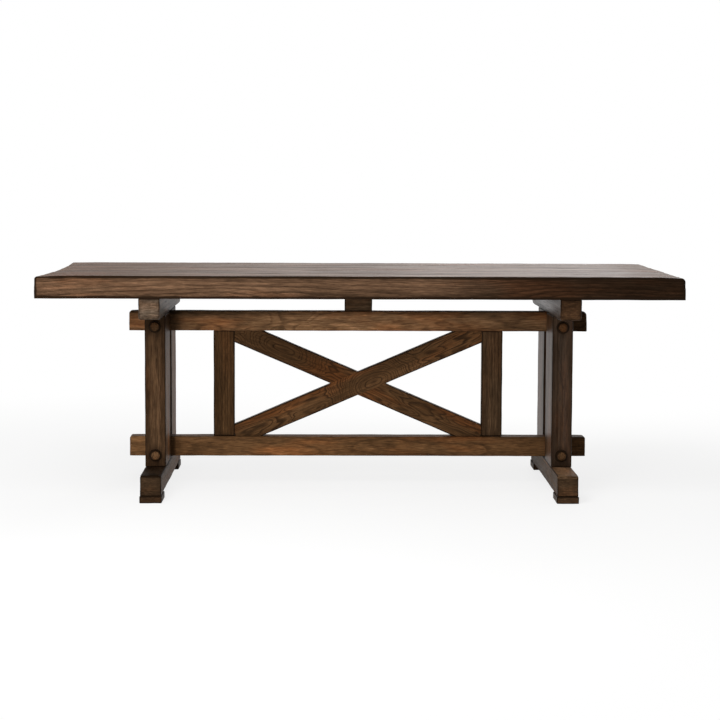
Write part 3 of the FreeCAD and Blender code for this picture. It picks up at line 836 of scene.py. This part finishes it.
def use_group(s, name, inputs, look=()):
    """The outputs of a shader node group, with those of its inputs that a look names."""
    tree = bpy.data.node_groups[name]
    labels = [item.name for item in tree.interface.items_tree if item.in_out == "INPUT"]
    chosen = {label: look[look_key(label)] for label in labels if look_key(label) in look}
    return s.get_all("ShaderNodeGroup", {**chosen, **inputs}, node_tree=tree)


def shade_along(s, along, centre, reach, core, shade):
    """A factor that is the shade in the core of a stretch along a timber and 1 beyond its reach."""
    return s.fade(abs(along - centre), reach, core, 1.0, shade)


def oak_tone(s, tone, own, look):
    """A colour with the darker and paler faces and stretches of a look, most of them painted light
    and shade.
    """
    along, depth, height = s.split(own)
    if look["top_face"]:
        face, factor, margin = look["top_face"]
        tone = tone * s.fade(height, face - margin, face - FACE_DEPTH, 1.0, factor)
    for stretch in look["darker"]:
        tone = tone * shade_along(s, along, *stretch)
    if look["front_darker"]:
        face = look["front_face"]
        front = s.fade(depth, face + FRONT_FADE, face + FACE_DEPTH)
        for stretch in look["front_darker"]:
            tone = tone * s.between(1.0, shade_along(s, along, *stretch), front)
    return tone


def oak_gloss(s, gloss, worn, own, look):
    """The gloss of a look, which is less on worn edges and changes along the timber, along the top
    as painted sheen.
    """
    along, _, height = s.split(own)
    gloss = gloss * look["gloss"] * (1.0 - worn)
    if look["polished"] is not None:
        face = look["polished"]
        gloss = gloss * s.fade(height, face - POLISH_FADE, face - FACE_DEPTH)
    for stretch in look["polish"]:
        gloss = gloss * s.fade(along, *stretch)
    return gloss


def oak_material(name, oak, *kinds, **look):
    """Stained, waxed oak with its figure and dark worn edges, in the looks of some kinds."""
    finish = bpy.context.scene.table_oak
    for kind in reversed(kinds):
        look = {**LOOKS[kind], **look}
    look = {**PLAIN_OAK, **look}
    material, s = blank_material(name)
    kept = {"own": "Vector", "grain": "Vector", "edge": "Fac"}
    own, grain, edge = (s.get("ShaderNodeAttribute", None, output, attribute_name=label)
                        for label, output in kept.items())
    figure = use_group(s, "Oak figure", {"Own": own, "Grain": grain * look["lay"]}, look)
    stain = use_group(s, "Oak stain", {
        **figure,
        "Oak": (*oak, 1.0),
        "Pore Stain": (*finish.pore, 1.0),
        "Roughness": finish.roughness,
    }, look)
    worn = use_group(s, "Worn edge", {"Edge": edge, "Grain": grain}, look)["Mask"]
    tone = oak_tone(s, stain["Color"], own, look)
    gloss = oak_gloss(s, stain["Gloss"], worn, own, look) if look["gloss"] else 0.0
    use_shader(s, {
        "Base Color": s.blend(tone, (*finish.edge, 1.0), worn),
        "Roughness": stain["Roughness"],
        "Coat Weight": gloss,
        "Coat Roughness": COAT_ROUGHNESS,
        "Normal": s.get("ShaderNodeBump", {"Height": stain["Height"], **RELIEF}),
        "Specular IOR Level": look["shine"],
        "Specular Tint": SHINE_TINT,
    })
    return material


def inner_wood_material():
    """Plain unstained wood for the tongues and dowels."""
    material, s = blank_material("Inner wood")
    place = s.get("ShaderNodeTexCoord", None, "Object")
    early = use_group(s, "Oak figure", {"Own": place, "Grain": place})["Early"]
    wood = (*bpy.context.scene.table_oak.inner, 1.0)
    use_shader(s, {"Base Color": s.blend(wood, INNER_DARK, early), "Roughness": INNER_ROUGHNESS})
    return material


def steel_material():
    """Plain grey steel with fine scratches for the screws."""
    material, s = blank_material("Screw steel")
    place = s.get("ShaderNodeTexCoord", None, "Object")
    scratch = s.noise(place, SCRATCH_RATE, detail=3.0)[0]
    steel = (*bpy.context.scene.table_oak.steel, 1.0)
    use_shader(s, {
        "Base Color": s.blend(steel, STEEL_DARK, scratch),
        "Roughness": s.fade(scratch, *SCRATCH_NOISE, *STEEL_ROUGHNESS),
        "Metallic": 1.0,
    })
    return material


# Making pieces

EDGES = ("Upper Arris", "Lower Arris", "Upper End", "Lower End")

# The first seed of each kind of piece
SEEDS = {"board": 1, "bearer": 11, "foot": 13, "post": 15, "pad": 19, "rail": 31, "block": 33,
         "stile": 41, "brace": 51, "peg": 61}

# How much of a lower edge of the top, and of a brace's end, is eased, against the plain arris
TOP_UNDERSIDE_EASE = 0.5
BRACE_END_EASE = 0.1

# How much wider the dark line of the top is than its worn edge
TOP_LINE = 1.5

# How far a recess reaches past the heads of its screws, and how deep a post is drilled for a peg
HEAD_ROOM = {"top_screws": 0.006, "pad_screws": 0.004}
PEG_DRILL = 0.4

# Which way each brace climbs
BRACES = {"right": 1, "left": -1}


def grow(name, tree, inputs, points=()):
    """Runs a geometry node tree on some points and keeps the result as a plain mesh piece."""
    start = bpy.data.meshes.new(name + "_points")
    start.from_pydata([tuple(point) for point in points], [], [])
    piece = bpy.data.objects.new(name, start)
    bpy.context.scene.collection.objects.link(piece)
    modifier = piece.modifiers.new("Shape", "NODES")
    modifier.node_group = tree
    for item in tree.interface.items_tree:
        if item.in_out == "INPUT" and item.name in inputs:
            modifier[item.identifier] = inputs[item.name]
    graph = bpy.context.evaluated_depsgraph_get()
    mesh = bpy.data.meshes.new_from_object(
        piece.evaluated_get(graph), preserve_all_data_layers=True, depsgraph=graph
    )
    piece.modifiers.clear()
    piece.data = mesh
    bpy.data.meshes.remove(start)
    if not mesh.polygons:
        raise RuntimeError(f"{name} came out empty")
    return piece


def dress(node, tree, inputs, points=()):
    """Grows a piece that rides on the table in place of a CAD node."""
    piece = grow("oak_" + node, bpy.data.node_groups[tree], inputs, points)
    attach(piece, BODY)
    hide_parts(node)


def worn_inputs(size, place, material, seed, edges):
    """The inputs of a worn timber, whose edges have the plain arris unless they are given."""
    shape = bpy.context.scene.table_shape
    edges = {**dict.fromkeys(EDGES, shape.arris), **edges}
    return {
        **edges,
        "Size": size,
        "Worn Low": -size / 2,
        "Worn High": size / 2,
        "Edge Zone": max(edges.values()) * EDGE_ROOM,
        "Scrape": shape.scrape,
        "Cell": shape.cell,
        "Seed": seed,
        "Place": place,
        "Material": material,
    }


def span(low, high, axis):
    """The size of a box in a timber's own axes, its turn and its middle."""
    low, high = Vector(low), Vector(high)
    size = high - low
    own = {"X": size, "Y": Vector((size.y, size.x, size.z)), "Z": Vector((size.z, size.y, size.x))}
    return own[axis], TURNS[axis], (low + high) / 2


def timber(node, low, high, axis, material, seed, edges=None, drills=(), drill=None):
    """A worn timber between two corners, in place of a CAD node."""
    size, turn, middle = span(low, high, axis)
    back = turn.to_matrix().inverted()
    inputs = {
        **worn_inputs(size, middle, material, seed, edges or {}),
        "Turn": Vector(turn),
        **(drill or {}),
    }
    points = [back @ (Vector(spot) - middle) for spot in drills]
    dress(node, "Worn timber", inputs, points)


def screw_spots(screws, low, high):
    """Where the screws of a group that stand between two corners have their axes, in plan."""
    tips = [vertex.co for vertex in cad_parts[screws].data.vertices]
    top = max(tip.z for tip in tips)
    spots = {(round(tip.x, 4), round(tip.y, 4)) for tip in tips if tip.z > top - MERGE_GAP}
    return sorted((x, y) for x, y in spots if low.x < x < high.x and low.y < y < high.y)


def screwed_timber(node, material, seed, screws, radius, edges=None):
    """A worn timber along Y with recesses in its lower face for a group of screws."""
    low, high = BOXES[node]
    drills = [(x, y, low.z) for x, y in screw_spots(screws, low, high)]
    depth = BOXES[screws][0].z - low.z + HEAD_ROOM[screws]
    drill = {"Drill Radius": radius, "Drill Depth": depth}
    timber(node, low, high, "Y", material, seed, edges, drills, drill)


def between_heights(node, bottom, top):
    """The corners of a CAD node's box, at other heights."""
    low, high = BOXES[node]
    return Vector((low.x, low.y, bottom)), Vector((high.x, high.y, top))


class TablePiece:
    """What the operators of this table share."""

    bl_options = {"REGISTER", "UNDO"}


class TABLE_OT_node_trees(TablePiece, bpy.types.Operator):
    """Make the geometry and shader node trees that the pieces use"""

    bl_idname = "table.node_trees"
    bl_label = "Node trees"

    def execute(self, context):
        timber_tree()
        board_tree()
        brace_tree()
        peg_tree()
        oak_figure_group()
        oak_stain_group()
        edge_wear_group()
        return {"FINISHED"}


class TABLE_OT_top(TablePiece, bpy.types.Operator):
    """Make the boards of the top"""

    bl_idname = "table.top"
    bl_label = "Top"

    def execute(self, context):
        shape = context.scene.table_shape
        oak = Vector(context.scene.table_oak.top)
        low = Vector((min(BOXES[n][0][i] for n in BOARDS) for i in range(3)))
        high = Vector((max(BOXES[n][1][i] for n in BOARDS) for i in range(3)))
        edges = {
            "Upper Arris": shape.top_edge,
            "Upper End": shape.top_end,
            "Lower Arris": shape.arris * TOP_UNDERSIDE_EASE,
            "Lower End": shape.arris * TOP_UNDERSIDE_EASE,
        }
        for index, node in enumerate(BOARDS):
            near, far = BOXES[node]
            near = Vector((low.x, near.y, near.z))
            far = Vector((high.x, far.y, far.z))
            middle = (near + far) / 2
            _, half_width, half_height = (far - near) / 2
            # The first board's front face takes painted shade, darker towards the right
            material = oak_material(
                f"Top oak {index + 1}", oak * BOARD_TONE[index % len(BOARD_TONE)], "board",
                heart=(0, HEART_STEP * (index % 3 - 1), HEART_DEPTH),
                line=shape.top_edge * TOP_LINE,
                polished=half_height, front_face=-half_width,
                front_darker=[FRONT_PAINTED_SHADE] if index == 0 else (),
            )
            inputs = {
                **worn_inputs(far - near, middle, material, SEEDS["board"] + index, edges),
                "Worn Low": low - middle,
                "Worn High": high - middle,
                "Left Hollow": shape.hollow_left,
                "Right Hollow": shape.hollow_right,
                "Front Dip": shape.front_dip,
                "Back Dip": shape.back_dip,
                "Joint V": shape.joint_vee,
            }
            dress(node, "Top board", inputs)
        return {"FINISHED"}


class TABLE_OT_trestles(TablePiece, bpy.types.Operator):
    """Make the bearers, posts, feet and pads"""

    bl_idname = "table.trestles"
    bl_label = "Trestles"

    def execute(self, context):
        shape = context.scene.table_shape
        finish = context.scene.table_oak
        for index, side in enumerate(SIDES):
            post_oak = self.post_oak(finish, side)
            foot_oak, pad_oak = self.foot_oaks(finish, side)
            screwed_timber("bearer_" + side, self.bearer_oak(finish, side),
                           SEEDS["bearer"] + index, "top_screws", shape.recess_radius,
                           {"Lower End": shape.end_round})
            foot = "foot_" + side
            timber(foot, *BOXES[foot], "Y", foot_oak, SEEDS["foot"] + index,
                   {"Upper End": shape.end_round})
            for step, place in enumerate(PLACES, start=2 * index):
                self.post(shape, side, place, post_oak, SEEDS["post"] + step)
                screwed_timber(f"foot_pad_{side}_{place}", pad_oak, SEEDS["pad"] + step,
                               "pad_screws", shape.pad_recess_radius)
        return {"FINISHED"}

    def heights(self, side):
        """The heights between which a post shows."""
        return BOXES["foot_" + side][1].z, BOXES["bearer_" + side][0].z

    def bearer_oak(self, finish, side):
        """Oak of a bearer, whose front end has no gloss."""
        end = -BOXES["bearer_" + side][1].y
        return oak_material(
            f"Bearer oak {side}", getattr(finish, "bearer_" + side), "bearer", "bearer " + side,
            polish=[(end, end + BEARER_END, 0.0, 1.0)],
        )

    def post_oak(self, finish, side):
        """Oak of the posts of one trestle, with painted shade in front and towards the floor and
        painted light and shade at the head.
        """
        bottom, top = self.heights(side)
        half = (top - bottom) / 2
        front, back = (corner.y for corner in BOXES[f"post_{side}_front"])
        return oak_material(
            # Painted light and shade at the head, and painted shade on the front and at its lower
            # end
            f"Post oak {side}", Vector(finish.post) * POST_TONE[side], "post", "post " + side,
            darker=[(half, *POST_HEAD, POST_HEAD_PAINTED_LIGHT_AND_SHADE[side])],
            front_darker=[(0, *POST_FRONT, POST_FRONT_PAINTED_SHADE[side]),
                          (-half, *POST_FOOT, POST_FOOT_PAINTED_SHADE)],
            front_face=(front - back) / 2,
        )

    def foot_oaks(self, finish, side):
        """Oak of a foot, with painted shade at its ends and painted light and shade on its top, and
        of its pads, which take the painted shade of the ends all over.
        """
        low, high = BOXES["foot_" + side]
        # The ends of the foot and the whole of its pads take painted shade, and its top painted
        # light and shade
        tone = FOOT_END_PAINTED_SHADE[side]
        foot = oak_material(
            f"Foot oak {side}", finish.foot, "foot",
            top_face=((high.z - low.z) / 2, FOOT_TOP_PAINTED_LIGHT_AND_SHADE[side], FOOT_TOP_FADE),
            darker=[(end, *FOOT_END, tone) for end in (low.y, high.y)],
        )
        return foot, oak_material(f"Pad oak {side}", Vector(finish.foot) * tone, "foot", "pad")

    def post(self, shape, side, place, material, seed):
        """One post, which is drilled from both faces where the pegs come out."""
        node = f"post_{side}_{place}"
        low, high = between_heights(node, *self.heights(side))
        pegs = [BOXES[f"peg_{side}_{rail}"] for rail in RAILS]
        spots = [(near + far) / 2 for near, far in pegs]
        drill = {
            "Drill Radius": (pegs[0][1].x - pegs[0][0].x) / 2 + shape.peg_gap,
            "Drill Depth": (high.y - low.y) * PEG_DRILL,
            "Drill Turn": (math.pi / 2, 0, 0),
        }
        drills = [(spot.x, face, spot.z) for spot in spots for face in (low.y, high.y)]
        timber(node, low, high, "Z", material, seed, drills=drills, drill=drill)


class TABLE_OT_rails(TablePiece, bpy.types.Operator):
    """Make the rails and the block between the upper rail and the top"""

    bl_idname = "table.rails"
    bl_label = "Rails and block"

    def execute(self, context):
        shape = context.scene.table_shape
        finish = context.scene.table_oak
        for index, rail in enumerate(RAILS):
            node = "rail_" + rail
            low, high = BOXES[node]
            # The upper rail is made paler as painted light, and each rail carries painted light and
            # shade on its upper face and along it
            material = oak_material(
                f"Rail oak {rail}", Vector(finish.rail) * RAIL_TONE_AND_PAINTED_LIGHT[rail], "rail", "rail " + rail,
                top_face=((high.z - low.z) / 2, *RAIL_TOP_PAINTED_SHADE[rail]),
            )
            timber(node, low, high, "X", material, SEEDS["rail"] + index,
                   {"Upper End": shape.end_round})
        block_oak = oak_material("Block oak", finish.block, "block")
        timber("centre_block", *BOXES["centre_block"], "X", block_oak, SEEDS["block"])
        return {"FINISHED"}


class TABLE_OT_cross(TablePiece, bpy.types.Operator):
    """Make the stiles and the two braces of the cross"""

    bl_idname = "table.cross"
    bl_label = "Stiles and braces"

    def execute(self, context):
        finish = context.scene.table_oak
        heights = BOXES["rail_lower"][1].z, BOXES["rail_upper"][0].z
        for index, side in enumerate(SIDES):
            node = "stile_" + side
            tone = Vector(finish.infill) * STILE_TONE[side]
            stile_oak = oak_material(f"Stile oak {side}", tone, "stile")
            timber(node, *between_heights(node, *heights), "Z", stile_oak, SEEDS["stile"] + index)
        for index, side in enumerate(BRACES):
            tone = Vector(finish.infill) * BRACE_TONE[side]
            brace_oak = oak_material(f"Brace oak {index + 1}", tone, "brace", "brace " + side)
            self.brace(context.scene.table_shape, side, brace_oak, SEEDS["brace"] + index)
        return {"FINISHED"}

    def brace(self, shape, side, material, seed):
        """One brace that climbs to a side and is halved where the other one crosses it."""
        node = "brace_rising_" + side
        low, high = BOXES[node]
        rise = BRACES[side]
        reach, half_depth, climb = (high - low) / 2
        half_width = shape.brace_width / 2
        size = Vector((2 * math.hypot(reach, climb), 2 * half_depth, shape.brace_width))
        slope = math.atan2(climb, reach)
        front, back = sorted((0, 2 * rise * half_depth))
        eased = shape.arris * BRACE_END_EASE
        edges = {"Upper End": eased, "Lower End": eased}
        inputs = {
            **worn_inputs(size, (low + high) / 2, material, seed, edges),
            "Turn": (0, -rise * slope, 0),
            "Panel Reach": reach,
            "Panel Rise": climb,
            "Climb": float(rise),
            "Lap Low": (-size.x, front, -half_width),
            "Lap High": (size.x, back, half_width),
            "Lap Turn": (0, 2 * rise * slope, 0),
        }
        dress(node, "Halved brace", inputs)


class TABLE_OT_pegs(TablePiece, bpy.types.Operator):
    """Make the pegs through the posts and the rails"""

    bl_idname = "table.pegs"
    bl_label = "Pegs"

    def execute(self, context):
        shape = context.scene.table_shape
        oak = Vector(context.scene.table_oak.peg)
        oaks = {rail: oak_material(f"Peg oak {rail}", oak * tone, "peg")
                for rail, tone in PEG_TONE.items()}
        for index, (side, rail) in enumerate((s, r) for s in SIDES for r in RAILS):
            node = f"peg_{side}_{rail}"
            low, high = BOXES[node]
            inputs = {
                "Radius": (high.x - low.x) / 2,
                "Half Length": (high.y - low.y) / 2,
                "Dome": shape.peg_dome,
                "Seed": SEEDS["peg"] + index,
                "Turn": Vector(TURNS["Y"]),
                "Place": (low + high) / 2,
                "Material": oaks[rail],
            }
            dress(node, "Domed peg", inputs)
        return {"FINISHED"}


class TABLE_OT_fixings(TablePiece, bpy.types.Operator):
    """Give the screws, tongues and dowels their finish"""

    bl_idname = "table.fixings"
    bl_label = "Screws, tongues and dowels"

    def execute(self, context):
        steel = steel_material()
        wood = inner_wood_material()
        finishes = {"top_screws": steel, "pad_screws": steel}
        finishes.update({name: wood for name in (*TONGUES, "brace_dowels", "block_dowels")})
        for name, material in finishes.items():
            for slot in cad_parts[name].material_slots:
                slot.material = material
        return {"FINISHED"}


# Stage

# How far the floor reaches, and how it fades to white: from, to, and the share at each
FLOOR_REACH = 30.0
FLOOR_FADE = (1.2, 3.4, 0.8, 1.0)
SENSOR_WIDTH = 36.0

# The place, the aim and the width of each light, and whether it is mirrored
LIGHTS = {
    "key": ((-0.95, -3.4, 1.05), (-0.2, 0.0, 0.5), 0.9, False),
    "top": ((-1.0, -2.4, 3.4), (0.0, 0.0, 0.6), 2.0, False),
    "back": ((1.5, 4.2, 2.8), (0.0, 0.0, 0.6), 2.4, True),
    "rear": ((0.9, 3.6, 1.1), (0.2, 0.0, 0.5), 0.9, False),
}


def seen_rays(s):
    """One for what is seen, mirrored or looked through, and nought for what only gives light."""
    path = s.get_all("ShaderNodeLightPath")
    return s.most(*(path[f"Is {ray} Ray"] for ray in ("Camera", "Glossy", "Transmission")))


def floor_material(pale):
    """A pale floor that keeps the table's shadow and fades to white further out."""
    material, s = blank_material("Pale floor")
    place = s.get("ShaderNodeTexCoord", None, "Object")
    mixed = s.get("ShaderNodeMixShader", {
        0: seen_rays(s) * s.fade(s.size_of(place), *FLOOR_FADE),
        1: s.get("ShaderNodeBsdfDiffuse", {"Color": (*pale, 1.0)}),
        2: s.get("ShaderNodeEmission", {"Color": WHITE, "Strength": 1.0}),
    })
    s.add("ShaderNodeOutputMaterial", {"Surface": mixed})
    return material


def studio_world(fill):
    """Even studio light, with a white background for what is seen and mirrored."""
    world = bpy.data.worlds.new("Studio")
    s = blank_tree(world)
    strength = s.between(fill, 1.0, seen_rays(s))
    light = s.get("ShaderNodeBackground", {"Color": WHITE, "Strength": strength})
    s.add("ShaderNodeOutputWorld", {"Surface": light})
    return world


def area_light(name, watts, place, aim, width, mirrored):
    """A soft square light that points at a spot and isn't seen itself."""
    data = bpy.data.lights.new(name, "AREA")
    data.shape = "SQUARE"
    data.size = width
    data.energy = watts
    light = bpy.data.objects.new(name, data)
    light.location = place
    direction = Vector(aim) - Vector(place)
    light.rotation_euler = direction.to_track_quat("-Z", "Y").to_euler()
    light.visible_camera = False
    light.visible_glossy = mirrored
    bpy.context.scene.collection.objects.link(light)


def photo_camera(stage):
    """The camera of the photograph."""
    data = bpy.data.cameras.new("Camera")
    data.sensor_width = SENSOR_WIDTH
    data.lens = stage.lens
    camera = bpy.data.objects.new("Camera", data)
    camera.matrix_world = (
        Matrix.Translation(stage.camera_place)
        @ Matrix.Rotation(-stage.camera_yaw, 4, "Z")
        @ Matrix.Rotation(math.pi / 2 + stage.camera_pitch, 4, "X")
        @ Matrix.Rotation(stage.camera_roll, 4, "Z")
    )
    bpy.context.scene.collection.objects.link(camera)
    bpy.context.scene.camera = camera


class TABLE_OT_stage(TablePiece, bpy.types.Operator):
    """Make the floor, the lights and the camera"""

    bl_idname = "table.stage"
    bl_label = "Stage"

    def execute(self, context):
        stage = context.scene.table_stage
        mesh = bpy.data.meshes.new("Floor")
        corners = [(x * FLOOR_REACH, y * FLOOR_REACH, 0)
                   for x, y in ((-1, -1), (1, -1), (1, 1), (-1, 1))]
        mesh.from_pydata(corners, [], [(0, 1, 2, 3)])
        mesh.materials.append(floor_material(stage.floor))
        floor = bpy.data.objects.new("Floor", mesh)
        context.scene.collection.objects.link(floor)
        context.scene.world = studio_world(stage.fill)
        for name, setting in LIGHTS.items():
            area_light(f"{name.title()} light", getattr(stage, name + "_power"), *setting)
        photo_camera(stage)
        context.scene.view_settings.view_transform = "Standard"
        return {"FINISHED"}


# Panel and registration

PIECES = (
    TABLE_OT_node_trees,
    TABLE_OT_top,
    TABLE_OT_trestles,
    TABLE_OT_rails,
    TABLE_OT_cross,
    TABLE_OT_pegs,
    TABLE_OT_fixings,
    TABLE_OT_stage,
)


class TABLE_PT_panel(bpy.types.Panel):
    """The table's settings and operators"""

    bl_idname = "TABLE_PT_panel"
    bl_label = "Trestle table"
    bl_space_type = "VIEW_3D"
    bl_region_type = "UI"
    bl_category = "Table"

    def draw(self, context):
        for name, group in SETTINGS.items():
            box = self.layout.box()
            for key in group.__annotations__:
                box.prop(getattr(context.scene, name), key)
        for piece in PIECES:
            self.layout.operator(piece.bl_idname)


SETTINGS = {"table_shape": TimberShape, "table_oak": OakFinish, "table_stage": StageSetup}
CLASSES = (*SETTINGS.values(), *PIECES, TABLE_PT_panel)


def register():
    for cls in CLASSES:
        bpy.utils.register_class(cls)
    for name, group in SETTINGS.items():
        setattr(bpy.types.Scene, name, bpy.props.PointerProperty(type=group))


def unregister():
    for name in SETTINGS:
        delattr(bpy.types.Scene, name)
    for cls in reversed(CLASSES):
        bpy.utils.unregister_class(cls)


def main():
    register()
    bpy.ops.table.node_trees()
    bpy.ops.table.top()
    bpy.ops.table.trestles()
    bpy.ops.table.rails()
    bpy.ops.table.cross()
    bpy.ops.table.pegs()
    bpy.ops.table.fixings()
    bpy.ops.table.stage()


if __name__ == "__main__":
    main()
